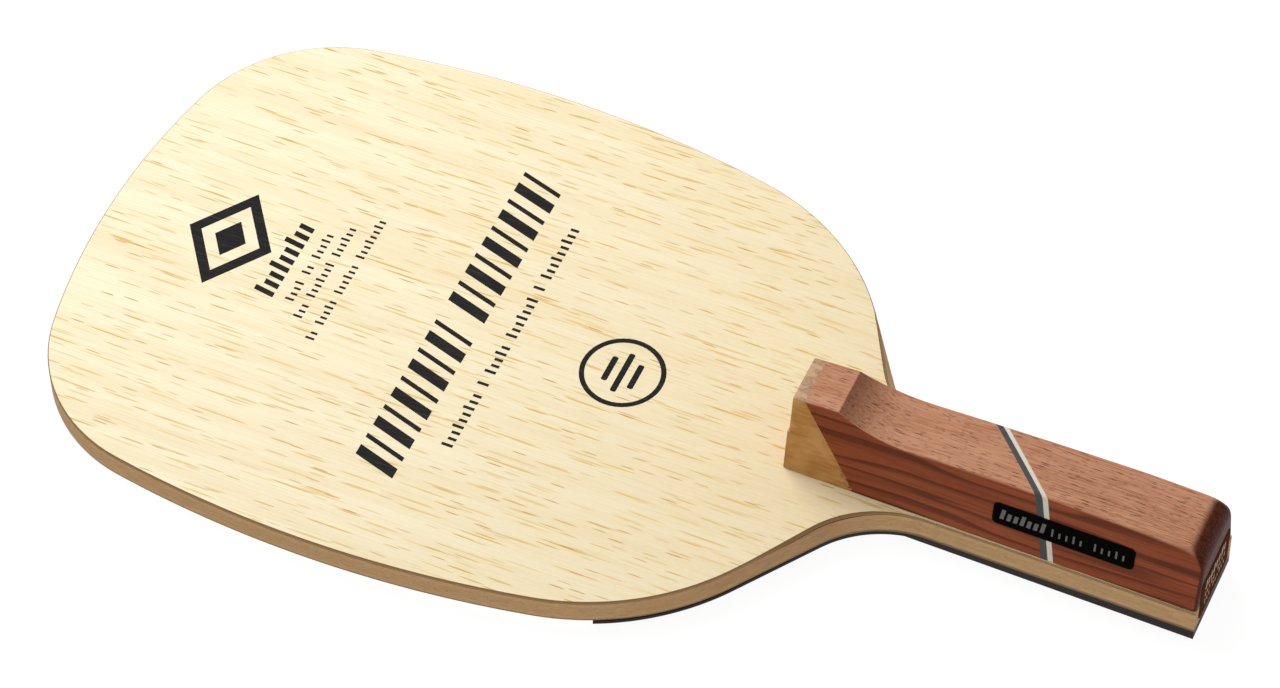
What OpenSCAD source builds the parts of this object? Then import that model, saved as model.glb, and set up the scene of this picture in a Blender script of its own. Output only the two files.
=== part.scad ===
// Penhold table tennis paddle: a bare blade of five wood plies and two thin fibre
// layers, a carved grip on its playing face and a dark plate behind the handle.
// +X runs from the blade's tip to the butt, +Z rises out of the playing face.

/* [Blade outline] */
// Length of the blade from its tip to the butt
blade_len = 246; // [236:0.5:256]
// Radius of the shallow curve across the tip
tip_r = 150; // [140:1:160]
// Turn of half the tip curve, in degrees
tip_turn = 12.9; // [12:0.1:14]
// Radius of the corner beside the tip
corner_r = 35.3; // [33:0.1:38]
// Turn of the corner, in degrees
corner_turn = 67.4; // [66:0.1:69]
// Radius of the long side curve
side_r = 251; // [240:1:262]
// Turn of the side curve, in degrees
side_turn = 21.1; // [20:0.1:22]
// Radius of the shoulder beside the grip
shoulder_r = 55; // [52:0.1:58]
// Turn of the shoulder, in degrees
shoulder_turn = 43.5; // [42:0.1:46]
// Length of the straight run from the shoulder to the neck
neck_run = 20.5; // [16:0.1:24]
// Width of the blade where the neck ends
neck_w = 20.3; // [19:0.1:22]
// Width of the blade at the butt
tongue_w = 21; // [20.4:0.1:23]

/* [Neck scoops] */
// Slope of the sanded scoops from the playing face, in degrees
scoop_slope = 50; // [45:1:60]
// Distance from the end of the straight run to the start of the -Y scoop
small_scoop_start = 18.6; // [16:0.1:20]
// How much further than the edge the -Y scoop turns inward, in degrees
small_scoop_turn = 3.1; // [1:0.1:5]
// Radius of the -Y scoop round the neck
small_scoop_r = 23.2; // [20:0.1:26]
// Distance from the end of the straight run to the start of the +Y scoop
large_scoop_start = 20.4; // [18:0.1:21]
// How much further than the edge the +Y scoop turns inward, in degrees
large_scoop_turn = 6.2; // [4:0.1:8]
// Radius of the +Y scoop round the neck
large_scoop_r = 22.4; // [20:0.1:26]
// Room between the scoops and the tongue
scoop_gap = 0.1; // [0.05:0.05:0.5]

/* [Blade layers] */
// Thickness of the face and back veneers
veneer_t = 0.6; // [0.4:0.05:1]
// Thickness of the woven fibre layers
fibre_t = 0.15; // [0.1:0.05:0.4]
// Thickness of the inner plies beside the core
inner_t = 1.1; // [0.8:0.05:1.6]
// Thickness of the core
core_t = 2.6; // [2:0.1:4]

/* [Back] */
// Thickness of the dark sheet on the back
sheet_t = 0.95; // [0.6:0.05:1.3]
// Distance from the tip to the front of the sheet, on the centre line
sheet_start = 126; // [110:1:140]
// Radius of the sheet's front edge
sheet_r = 160; // [130:5:220]
// Thickness of the plate under the handle
plate_t = 1.55; // [1.2:0.05:3]
// Distance from the tip to the front of the plate
plate_start = 171; // [165:0.5:176]
// Width of the plate at its round front
plate_front_w = 19; // [16:0.5:20]

/* [Grip] */
// Distance from the tip to the front of the grip
grip_start = 157.3; // [155:0.1:160]
// Width of the grip's base at its front
grip_front_w = 18.75; // [17:0.05:19]
// Width of the grip's base at the butt
grip_butt_w = 20.9; // [19.5:0.1:21]
// Inward lean of the grip's sides, in degrees
side_lean = 11.3; // [8:0.1:14]
// Height of the hook at its front edge
hook_front_h = 18.5; // [17:0.1:19]
// Height of the hook at its ridge
hook_h = 19; // [18.5:0.1:20]
// Distance from the front of the grip to the ridge
ridge_at = 10.3; // [9:0.1:12]
// Set-back of the upper half of the hook's front face
front_step = 0.4; // [0.2:0.05:0.8]
// Height of that small step
step_h = 9.5; // [8:0.1:11]
// Distance from the front of the grip to the lowest point of the finger hollow
hollow_at = 25.2; // [22:0.1:28]
// Height of the grip at the finger hollow
hollow_h = 15.1; // [14:0.1:16]
// Distance from the front of the grip to the crown of the handle
crown_at = 54.7; // [48:0.1:60]
// Height of the grip at the crown
crown_h = 15.7; // [15.3:0.1:16.5]
// Radius of the rounded butt
butt_r = 5; // [3:0.1:8]

/* [Wedge and inlay] */
// Width of the pale wedge at its top
wedge_top = 2.8; // [2:0.1:4]
// Width of the pale wedge at its foot
wedge_foot = 15.5; // [12:0.1:18]
// Distance from the front of the grip to the seam between the two inlaid strips
inlay_at = 47.3; // [44:0.1:50]
// Angle of the inlay across the grip, in degrees
inlay_angle = 45; // [30:1:60]
// Thickness of the dark strip
dark_t = 1.1; // [0.6:0.05:2]
// Thickness of the white strip
white_t = 0.8; // [0.5:0.05:2]

/* [Labels] */
// Thickness of the labels
label_t = 0.15; // [0.1:0.05:0.3]
// Length of the side label
side_label_l = 30; // [24:0.5:34]
// Height of the side label
side_label_h = 5.4; // [4:0.1:7]
// Distance from the front of the grip to the middle of the side label
side_label_at = 59.7; // [55:0.1:64]
// Height of the side label's middle above the playing face, along the side
side_label_z = 8; // [6:0.1:9]
// Width of the butt label
butt_label_w = 16.4; // [12:0.1:17]
// Height of the butt label
butt_label_h = 11; // [8:0.1:11]
// Height of the butt label's middle above the playing face
butt_label_z = 0.3; // [-0.5:0.1:0.5]
// Corner radius of both labels
label_corner = 1.1; // [0.5:0.1:2]

/* [Hidden] */

wood_pale = [0.95, 0.87, 0.70];
wood_inner = [0.65, 0.52, 0.38];
wood_core = [0.63, 0.50, 0.36];
wood_wedge = [0.68, 0.49, 0.27];
wood_red = [0.55, 0.28, 0.18];
dark_fibre = [0.12, 0.11, 0.10];
dark_sheet = [0.16, 0.14, 0.13];
dark_strip = [0.27, 0.27, 0.28];
white_strip = [0.88, 0.86, 0.80];
label_black = [0.06, 0.05, 0.05];
label_silver = [0.72, 0.70, 0.68];

// Longest straight stretch along a curved outline
chord = 2.5;
// Length that reaches past every side of the part
reach = 2 * blade_len;
round_fn = 180;

// Places along X
tip_x = -(blade_len + label_t) / 2;
butt_x = tip_x + blade_len;
grip_x = tip_x + grip_start;
ridge_x = grip_x + ridge_at;
hollow_x = grip_x + hollow_at;
crown_x = grip_x + crown_at;
inlay_x = grip_x + inlay_at;

// Heights
sheet_z = plate_t;
back_z = sheet_z + sheet_t;
skin_t = veneer_t + fibre_t;
blade_t = 2 * skin_t + 2 * inner_t + core_t;
face_z = back_z + blade_t;

// The outline is walked from the tip as a chain of tangent arcs. A pose is
// [x, y, heading] and an arc is [radius, turn]; both are negative where it bends outward.
function arc_pose(pose, r, turn) =
    let (h = pose[2] - turn)
    [pose[0] + r * (sin(pose[2]) - sin(h)), pose[1] - r * (cos(pose[2]) - cos(h)), h];
function arc_poses(pose, r, turn) =
    let (n = ceil(abs(r * turn) * PI / 180 / chord))
    [for (i = [1:n]) arc_pose(pose, r, turn * i / n)];
function last(list) = list[len(list) - 1];
function walk(pose, arcs, i = 0) =
    i == len(arcs) ? [] :
    let (run = arc_poses(pose, arcs[i][0], arcs[i][1]))
    concat(run, walk(last(run), arcs, i + 1));

blade_arcs = [
    [tip_r, tip_turn],
    [corner_r, corner_turn],
    [side_r, side_turn],
    [shoulder_r, shoulder_turn]
];
tip_pose = [tip_x, 0, 90];
blade_poses = walk(tip_pose, blade_arcs);
shoulder_end = last(blade_poses);
neck_heading = shoulder_end[2];
run_end = [
    shoulder_end[0] + neck_run * cos(neck_heading),
    shoulder_end[1] + neck_run * sin(neck_heading),
    neck_heading
];

// The neck takes the radius that brings the outline to its width
neck_r = (run_end[1] - neck_w / 2) / (1 - cos(neck_heading));
neck_poses = concat([run_end], arc_poses(run_end, -neck_r, neck_heading));

half_outline = concat(
    [for (p = concat(blade_poses, neck_poses)) [p[0], p[1]]],
    [[butt_x, tongue_w / 2]]
);
blade_outline = concat(
    [[tip_x, 0]],
    half_outline,
    [for (i = [len(half_outline) - 1:-1:0]) [half_outline[i][0], -half_outline[i][1]]]
);

// The grip seen from the side, as [x, z] above the playing face. The finger
// hollow is an arc from the ridge to its lowest point, the crown a shallow arc.
hollow_run = hollow_x - ridge_x;
hollow_drop = hook_h - hollow_h;
hollow_r = (pow(hollow_run, 2) + pow(hollow_drop, 2)) / (2 * hollow_drop);
crown_r = pow(crown_x - hollow_x, 2) / (2 * (crown_h - hollow_h));
function hollow_z(x) = hollow_h + hollow_r - sqrt(pow(hollow_r, 2) - pow(hollow_x - x, 2));
function crown_z(x) = crown_h - pow(x - crown_x, 2) / (2 * crown_r);

butt_round_x = butt_x - butt_r;
butt_round_z = crown_z(butt_round_x) - butt_r;
hollow_steps = 12;
crown_steps = 24;
butt_steps = 12;

grip_profile = concat(
    [
        [grip_x, 0],
        [grip_x, step_h],
        [grip_x + front_step, step_h],
        [grip_x + front_step, hook_front_h]
    ],
    [for (i = [0:hollow_steps]) let (x = ridge_x + hollow_run * i / hollow_steps) [x, hollow_z(x)]],
    [
        for (i = [1:crown_steps])
            let (x = hollow_x + (butt_round_x - hollow_x) * i / crown_steps) [x, crown_z(x)]
    ],
    [
        for (i = [1:butt_steps])
            let (a = 90 - 90 * i / butt_steps)
            [butt_round_x + butt_r * cos(a), butt_round_z + butt_r * sin(a)]
    ],
    [[butt_x, 0]]
);

grip_taper = atan2((grip_butt_w - grip_front_w) / 2, butt_x - grip_x);

module layer(z, t, paint) {
    color(paint)
        translate([0, 0, z])
            linear_extrude(t)
                polygon(blade_outline);
}

// The cutter of one scoop: a slanted plane that leaves the edge on the straight run,
// then a cone that carries it round the neck. way is 1 for +Y and -1 for -Y.
module scoop(way, start, turn, r) {
    heading = neck_heading - turn;
    start_x = run_end[0] - start * cos(neck_heading);
    start_y = run_end[1] - start * sin(neck_heading);
    middle_y = neck_w / 2 + scoop_gap + r;
    bend_y = middle_y - r * cos(heading);
    bend_x = start_x + (bend_y - start_y) / tan(heading);
    middle_x = bend_x - r * sin(heading);
    scale([1, way, 1])
        union() {
            translate([middle_x, middle_y, back_z])
                cylinder(
                    h = 2 * blade_t,
                    r1 = r - blade_t / tan(scoop_slope),
                    r2 = r + blade_t / tan(scoop_slope),
                    $fn = round_fn
                );
            translate([bend_x, bend_y, face_z])
                rotate([0, 0, heading])
                    rotate([-scoop_slope, 0, 0])
                        translate([-2 * neck_run, 0, 0])
                            cube([2 * neck_run, 2 * blade_t, 2 * blade_t]);
        }
}

// A layer that reaches up into the scoops beside the neck
module scooped_layer(z, t, paint) {
    color(paint)
        difference() {
            layer(z, t, paint);
            scoop(-1, small_scoop_start, small_scoop_turn, small_scoop_r);
            scoop(1, large_scoop_start, large_scoop_turn, large_scoop_r);
        }
}

module front_veneer() {
    scooped_layer(face_z - veneer_t, veneer_t, wood_pale);
}

module front_fibre_layer() {
    scooped_layer(face_z - skin_t, fibre_t, dark_fibre);
}

module front_inner_ply() {
    scooped_layer(face_z - skin_t - inner_t, inner_t, wood_inner);
}

module core_ply() {
    scooped_layer(back_z + skin_t + inner_t, core_t, wood_core);
}

module back_inner_ply() {
    layer(back_z + skin_t, inner_t, wood_inner);
}

module back_fibre_layer() {
    layer(back_z + veneer_t, fibre_t, dark_fibre);
}

module back_veneer() {
    layer(back_z, veneer_t, wood_pale);
}

module back_sheet() {
    intersection() {
        layer(sheet_z, sheet_t, dark_sheet);
        translate([tip_x + sheet_start + sheet_r, 0, 0])
            cylinder(r = sheet_r, h = face_z, $fn = round_fn);
    }
}

// The plate narrows to a half-round front and keeps to the blade's width at the butt
module back_grip_plate() {
    nose_r = plate_front_w / 2;
    nose_x = tip_x + plate_start + nose_r;
    color(dark_sheet)
        union() {
            translate([nose_x, 0, 0])
                cylinder(r = nose_r, h = plate_t, $fn = round_fn);
            linear_extrude(plate_t)
                polygon([
                    [nose_x, -nose_r],
                    [butt_x, -tongue_w / 2],
                    [butt_x, tongue_w / 2],
                    [nose_x, nose_r]
                ]);
        }
}

// Places its children on the plane of one side of the grip: X along the base,
// Z up the slope and Y out of the wood. way is 1 for +Y and -1 for -Y.
module on_side(way) {
    translate([grip_x, way * grip_front_w / 2, face_z])
        rotate([0, 0, way * grip_taper])
            rotate([way * side_lean, 0, 0])
                scale([1, way, 1])
                    children();
}

// The whole carved grip before it is divided into its pieces
module grip_body() {
    difference() {
        translate([0, tongue_w, face_z])
            rotate([90, 0, 0])
                linear_extrude(2 * tongue_w)
                    polygon(grip_profile);
        for (way = [-1, 1])
            on_side(way)
                translate([-reach / 2, 0, -reach / 2])
                    cube([reach, tongue_w, reach]);
    }
}

// Everything in front of the slanted glue joint of the wedge
module wedge_zone() {
    translate([0, tongue_w, face_z])
        rotate([90, 0, 0])
            linear_extrude(2 * tongue_w)
                polygon([
                    [grip_x - wedge_foot, 0],
                    [grip_x + wedge_foot, 0],
                    [grip_x + wedge_top, hook_h],
                    [grip_x - wedge_foot, hook_h]
                ]);
}

// A slab square to the inlay's line, from one distance along it to another
module inlay_zone(from, to) {
    translate([inlay_x, 0, 0])
        rotate([0, 0, inlay_angle])
            translate([from, -reach / 2, 0])
                cube([to - from, reach, reach]);
}

module grip_nose_wedge() {
    color(wood_wedge)
        intersection() {
            grip_body();
            wedge_zone();
        }
}

module grip_front_block() {
    color(wood_red)
        difference() {
            intersection() {
                grip_body();
                inlay_zone(-reach, -dark_t);
            }
            wedge_zone();
        }
}

module inlay_dark_strip() {
    color(dark_strip)
        intersection() {
            grip_body();
            inlay_zone(-dark_t, 0);
        }
}

module inlay_white_strip() {
    color(white_strip)
        intersection() {
            grip_body();
            inlay_zone(0, white_t);
        }
}

module grip_rear_block() {
    color(wood_red)
        intersection() {
            grip_body();
            inlay_zone(white_t, reach);
        }
}

// A rounded plate in the XZ plane, centred, that stands on Y = 0
module label(l, h) {
    rotate([90, 0, 0])
        translate([0, 0, -label_t])
            linear_extrude(label_t)
                union() {
                    square([l - 2 * label_corner, h], center = true);
                    square([l, h - 2 * label_corner], center = true);
                    for (x = [-1, 1], y = [-1, 1])
                        translate([x * (l / 2 - label_corner), y * (h / 2 - label_corner)])
                            circle(r = label_corner, $fn = 48);
                }
}

module side_label() {
    color(label_black)
        on_side(-1)
            translate([side_label_at, 0, side_label_z])
                label(side_label_l, side_label_h);
}

module butt_label() {
    color(label_silver)
        translate([butt_x, 0, face_z + butt_label_z])
            rotate([0, 0, -90])
                label(butt_label_w, butt_label_h);
}

front_veneer();
front_fibre_layer();
front_inner_ply();
core_ply();
back_inner_ply();
back_fibre_layer();
back_veneer();
back_sheet();
back_grip_plate();
grip_nose_wedge();
grip_front_block();
inlay_dark_strip();
inlay_white_strip();
grip_rear_block();
side_label();
butt_label();
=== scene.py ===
"""The looks of a bare penhold table tennis paddle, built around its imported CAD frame.

Every length is in metres in the CAD's own frame: +X runs from the blade's tip to the
butt of the grip, +Z rises out of the playing face. MM turns millimetres into metres.
"""

import math

import bmesh
import bpy
import numpy as np
from mathutils import Matrix, Vector


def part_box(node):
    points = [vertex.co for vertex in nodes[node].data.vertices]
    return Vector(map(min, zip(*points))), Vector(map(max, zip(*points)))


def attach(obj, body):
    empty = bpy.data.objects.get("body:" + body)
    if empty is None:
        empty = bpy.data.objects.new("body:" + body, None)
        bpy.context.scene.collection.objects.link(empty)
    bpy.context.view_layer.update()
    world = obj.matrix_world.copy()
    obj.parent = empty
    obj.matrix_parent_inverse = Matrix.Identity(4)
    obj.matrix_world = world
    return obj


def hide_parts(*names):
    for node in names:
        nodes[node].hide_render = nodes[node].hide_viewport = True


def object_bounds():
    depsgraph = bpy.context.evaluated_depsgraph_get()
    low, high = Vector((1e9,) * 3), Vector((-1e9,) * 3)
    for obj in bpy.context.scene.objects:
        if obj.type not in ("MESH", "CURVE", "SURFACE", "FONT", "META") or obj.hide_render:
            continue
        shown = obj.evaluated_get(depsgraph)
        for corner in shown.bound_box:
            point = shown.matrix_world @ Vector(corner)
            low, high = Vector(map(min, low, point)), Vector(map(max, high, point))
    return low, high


MM = 0.001
BODY = "root"

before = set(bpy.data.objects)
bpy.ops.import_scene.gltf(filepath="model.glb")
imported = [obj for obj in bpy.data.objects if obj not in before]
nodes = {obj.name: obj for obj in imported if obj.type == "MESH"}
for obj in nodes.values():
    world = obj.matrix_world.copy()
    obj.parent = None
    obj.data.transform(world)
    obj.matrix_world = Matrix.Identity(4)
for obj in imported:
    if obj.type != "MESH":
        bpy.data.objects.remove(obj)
cad_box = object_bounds()

# ---------------------------------------------------------------- the CAD's own places

FACE_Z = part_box("front_veneer")[1].z
BACK_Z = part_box("back_veneer")[0].z
GRIP_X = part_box("grip_nose_wedge")[0].x
BUTT_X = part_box("grip_rear_block")[1].x
# Points closer than this are one point
WELD = 0.01 * MM
# A face looks along a direction when the cosine between them is above this
SQUARELY = 0.95


def points_of(name):
    """The vertices of a CAD node as an array of places."""
    return np.array([v.co for v in nodes[name].data.vertices], float)


def span(name, direction):
    """The lowest and highest place of a CAD node along a direction."""
    along = points_of(name) @ np.array(direction)
    return along.min(), along.max()


def outline_of(name):
    """The rim of a CAD node's flat top, counter-clockwise seen from above."""
    bm = bmesh.new()
    bm.from_mesh(nodes[name].data)
    bmesh.ops.remove_doubles(bm, verts=bm.verts, dist=WELD)
    top_z = max(v.co.z for v in bm.verts) - WELD
    top = {face for face in bm.faces if all(v.co.z > top_z for v in face.verts)}
    following = {}
    for face in top:
        for loop in face.loops:
            if not any(other in top for other in loop.edge.link_faces if other != face):
                following[loop.vert] = loop.link_loop_next.vert
    rim = [min(following, key=lambda v: tuple(v.co.xy))]
    while following[rim[-1]] != rim[0]:
        rim.append(following[rim[-1]])
    outline = np.array([v.co.xy for v in rim])
    bm.free()
    return outline


def smoothstep(x, low, high):
    """Eases from 0 at low to 1 at high."""
    t = min(max((x - low) / (high - low), 0), 1)
    return t * t * (3 - 2 * t)


# ---------------------------------------------------------------- mesh building

# Edges that turn more than this stay sharp
SHARP = math.radians(35)
# Points this close to a cutting plane count as on it
ON_PLANE = 1e-8


def finish_mesh(name, mesh, material):
    """Makes an object of a mesh, smooth but for its sharp edges, and rides it on the paddle."""
    mesh.shade_smooth()
    mesh.set_sharp_from_angle(angle=SHARP)
    mesh.materials.append(material)
    piece = bpy.data.objects.new(name, mesh)
    bpy.context.scene.collection.objects.link(piece)
    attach(piece, BODY)
    return piece


def mesh_of(name, bm):
    """A mesh of a bmesh, with its faces turned outward."""
    bmesh.ops.recalc_face_normals(bm, faces=bm.faces)
    mesh = bpy.data.meshes.new(name)
    bm.to_mesh(mesh)
    bm.free()
    return mesh


def loft(rings):
    """A closed bmesh through rings of equally many points, with a flat cap at each end."""
    bm = bmesh.new()
    rows = [[bm.verts.new(p) for p in ring] for ring in rings]
    count = len(rows[0])
    for row, following in zip(rows, rows[1:]):
        for i in range(count):
            j = (i + 1) % count
            bm.faces.new((row[i], row[j], following[j], following[i]))
    bm.faces.new(rows[0][::-1])
    bm.faces.new(rows[-1])
    return bm


def drawn_in(outline, inset):
    """A counter-clockwise outline moved inward by small distances, corners kept square."""
    step = np.roll(outline, -1, axis=0) - outline
    step /= np.linalg.norm(step, axis=1)[:, None]
    inward = np.column_stack((-step[:, 1], step[:, 0]))
    both = inward + np.roll(inward, 1, axis=0)
    miter = both / (both * inward).sum(axis=1)[:, None]
    return outline + np.reshape(inset, (-1, 1)) * miter


def rounding(depth, radius):
    """How far a quarter-round has drawn a surface in, at a depth from the end face."""
    short = min(max(radius - depth, 0), radius)
    return radius - math.sqrt(radius**2 - short**2)


def profile(count, low, high, round_low=0.0, round_high=0.0, steps=5):
    """Heights and insets, one a point, of the rings of a plate with rounded edges."""
    rings = []
    turns = [math.pi / 2 * i / steps for i in range(steps + 1)]
    for z, radius, way in ((low, round_low, 1), (high, round_high, -1)):
        radii = np.broadcast_to(radius, count)
        edge = [
            (z + way * radii * (1 - math.cos(turn)), radii * (1 - math.sin(turn)))
            for turn in (turns if radii.any() else turns[-1:])
        ]
        rings += edge[::way]
    return rings


def plate(outline, rings):
    """The closed bmesh of a plate: an outline drawn in by each ring of a profile."""
    return loft([np.column_stack((drawn_in(outline, inset), z)) for z, inset in rings])


def cut(bm, point, normal):
    """Removes what lies in front of a plane and closes the cut with a flat face."""
    everything = bm.verts[:] + bm.edges[:] + bm.faces[:]
    found = bmesh.ops.bisect_plane(
        bm, geom=everything, plane_co=point, plane_no=normal, clear_outer=True, dist=ON_PLANE
    )
    edges = [e for e in found["geom_cut"] if isinstance(e, bmesh.types.BMEdge)]
    bmesh.ops.holes_fill(bm, edges=edges, sides=0)


# ---------------------------------------------------------------- materials


def srgb(red, green, blue):
    """A colour given as 0 to 255 screen values, as the linear colour that nodes use."""
    linear = []
    for value in (red, green, blue):
        c = value / 255
        linear.append(c / 12.92 if c <= 0.04045 else ((c + 0.055) / 1.055) ** 2.4)
    return (*linear, 1.0)


# The mix node's sockets for colours, which share their names with those for values
MIX_COLOURS = (6, 7)
MIXED_COLOUR = 2
# How ragged a short mark's edge is, as a share of its cell
FRAY = 0.07
# How softly a share of the cells is chosen
CHOICE = 0.06
# Turns the cells that hold a veneer's marks, so that no rows of them show
CELL_TURN = (0, 0, 0.6)


class Paint:
    """A material and the few kinds of node that the woods and films here are mixed from."""

    def __init__(self, name, roughness, specular):
        """Starts a material whose places are the CAD's own, in millimetres."""
        self.material = bpy.data.materials.new(name)
        self.material.use_nodes = True
        self.tree = self.material.node_tree
        self.shader = self.tree.nodes["Principled BSDF"]
        self.shader.inputs["Roughness"].default_value = roughness
        self.shader.inputs["Specular IOR Level"].default_value = specular
        place = self.node("ShaderNodeTexCoord").outputs["Object"]
        scale = self.node("ShaderNodeVectorMath", operation="SCALE")
        scale.inputs["Scale"].default_value = 1 / MM
        self.link(place, scale.inputs[0])
        self.place = scale.outputs[0]
        self.normal = self.node("ShaderNodeNewGeometry").outputs["Normal"]

    def node(self, kind, **settings):
        """A new node with some of its settings changed."""
        made = self.tree.nodes.new(kind)
        for key, value in settings.items():
            setattr(made, key, value)
        return made

    def link(self, source, socket):
        """Links an output to an input."""
        self.tree.links.new(source, socket)

    def feed(self, socket, value):
        """Links an output to a socket, or sets the socket to a constant."""
        if isinstance(value, bpy.types.NodeSocket):
            self.link(value, socket)
        else:
            socket.default_value = value

    def grain(self, size, shift=(0, 0, 0), turn=(0, 0, 0), place=None):
        """Places divided by a grain's size along X, Y and Z in millimetres."""
        mapping = self.node("ShaderNodeMapping", vector_type="POINT")
        mapping.inputs["Location"].default_value = shift
        mapping.inputs["Rotation"].default_value = turn
        mapping.inputs["Scale"].default_value = [1 / s for s in size]
        self.link(place or self.place, mapping.inputs["Vector"])
        return mapping.outputs[0]

    def noise(self, vector, detail=3.0, roughness=0.5, colour=False):
        """Smooth noise of grains about one unit wide, around 0.5."""
        made = self.node("ShaderNodeTexNoise")
        made.inputs["Scale"].default_value = 1.0
        made.inputs["Detail"].default_value = detail
        made.inputs["Roughness"].default_value = roughness
        self.link(vector, made.inputs["Vector"])
        return made.outputs["Color" if colour else "Fac"]

    def cells(self, vector, flat):
        """Distance to the nearest of many scattered points, and that point's own colour."""
        made = self.node("ShaderNodeTexVoronoi", voronoi_dimensions="2D" if flat else "3D")
        made.inputs["Scale"].default_value = 1.0
        self.link(vector, made.inputs["Vector"])
        return made.outputs["Distance"], made.outputs["Color"]

    def warped(self, amount, size):
        """Places pushed sideways by slow noise, so that straight grain wanders."""
        push = self.noise(self.grain(size), detail=2, colour=True)
        centred = self.node("ShaderNodeVectorMath", operation="SUBTRACT")
        self.link(push, centred.inputs[0])
        centred.inputs[1].default_value = (0.5, 0.5, 0.5)
        moved = self.node("ShaderNodeVectorMath", operation="MULTIPLY_ADD")
        self.link(centred.outputs[0], moved.inputs[0])
        moved.inputs[1].default_value = amount
        self.link(self.place, moved.inputs[2])
        return moved.outputs[0]

    def math(self, operation, a, b=0.0):
        """An operation on one or two values, each an output or a constant."""
        made = self.node("ShaderNodeMath", operation=operation)
        self.feed(made.inputs[0], a)
        self.feed(made.inputs[1], b)
        return made.outputs[0]

    def between(self, value, low, high, to_low=0.0, to_high=1.0):
        """A smooth step from to_low to to_high as value goes from low to high."""
        made = self.node("ShaderNodeMapRange", interpolation_type="SMOOTHSTEP")
        self.link(value, made.inputs["Value"])
        made.inputs["From Min"].default_value = low
        made.inputs["From Max"].default_value = high
        made.inputs["To Min"].default_value = to_low
        made.inputs["To Max"].default_value = to_high
        return made.outputs["Result"]

    def mix(self, factor, a, b):
        """The colour a where factor is 0 and b where it is 1."""
        made = self.node("ShaderNodeMix", data_type="RGBA")
        self.feed(made.inputs["Factor"], factor)
        self.feed(made.inputs[MIX_COLOURS[0]], a)
        self.feed(made.inputs[MIX_COLOURS[1]], b)
        return made.outputs[MIXED_COLOUR]

    def axis(self, vector, name):
        """One coordinate of a vector, called X, Y or Z."""
        made = self.node("ShaderNodeSeparateXYZ")
        self.link(vector, made.inputs[0])
        return made.outputs[name]

    def channel(self, colour, name):
        """One channel of a colour, called Red, Green or Blue."""
        made = self.node("ShaderNodeSeparateColor")
        self.link(colour, made.inputs[0])
        return made.outputs[name]

    def facing(self, axis, low, high):
        """How far the surface faces along an axis, either way, as a smooth step."""
        return self.between(self.math("ABSOLUTE", self.axis(self.normal, axis)), low, high)

    def beyond(self, point, direction):
        """Signed distance in millimetres of the surface from a plane given in metres."""
        along = self.node("ShaderNodeVectorMath", operation="DOT_PRODUCT")
        self.link(self.place, along.inputs[0])
        along.inputs[1].default_value = direction
        return self.math("SUBTRACT", along.outputs["Value"], point.dot(direction) / MM)

    def dashes(self, vector, core, reach, share, flat=False):
        """Short spindle-shaped marks: 1 in a mark, 0 outside, for a share of the cells."""
        distance, colour = self.cells(vector, flat)
        ragged = self.math("MULTIPLY", self.noise(vector, detail=3), 2 * FRAY)
        edge = self.math("SUBTRACT", self.math("ADD", distance, ragged), FRAY)
        mark = self.between(edge, reach, core)
        chosen = self.between(self.channel(colour, "Red"), 1 - share, 1 - share + CHOICE)
        strength = self.between(self.channel(colour, "Green"), 0.0, 1.0, 0.4, 1.0)
        return self.math("MULTIPLY", self.math("MULTIPLY", mark, chosen), strength)

    def bump(self, height, depth):
        """Raises the surface by a height of 0 to 1 times a depth in millimetres."""
        made = self.node("ShaderNodeBump")
        made.inputs["Strength"].default_value = 1.0
        made.inputs["Distance"].default_value = depth * MM
        self.link(height, made.inputs["Height"])
        self.link(made.outputs[0], self.shader.inputs["Normal"])

    def colour(self, value):
        """Gives the surface its colour, which finishes the material."""
        self.feed(self.shader.inputs["Base Color"], value)
        return self.material


def edge_tone(p, wood):
    """Turns a veneer's colour into its edge's, which is darkest at the blade's two corners:
    painted shade where the rims round over, deepest under the back rim.
    """
    height = p.axis(p.place, "Z")
    face, back = FACE_Z / MM, BACK_Z / MM
    near_face = p.between(height, face - 0.9, face - 0.15)
    # Painted shade: the back rim's rounded edge darkens to deep brown toward the back.
    back_rim_shade = p.between(height, back + 0.95, back)
    front_edge = p.mix(near_face, srgb(176, 138, 92), srgb(142, 108, 66))
    shaded_back_edge = p.mix(back_rim_shade, srgb(158, 124, 86), srgb(84, 64, 44))
    edge = p.mix(p.between(height, back + 2, back + 3), shaded_back_edge, front_edge)
    # Painted shade: a darker band where the face starts to round over at each rim.
    corner = p.mix(p.facing("Z", 0.995, 0.93), wood, srgb(132, 100, 62))
    return p.mix(p.facing("Z", 0.8, 0.55), corner, edge)


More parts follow.
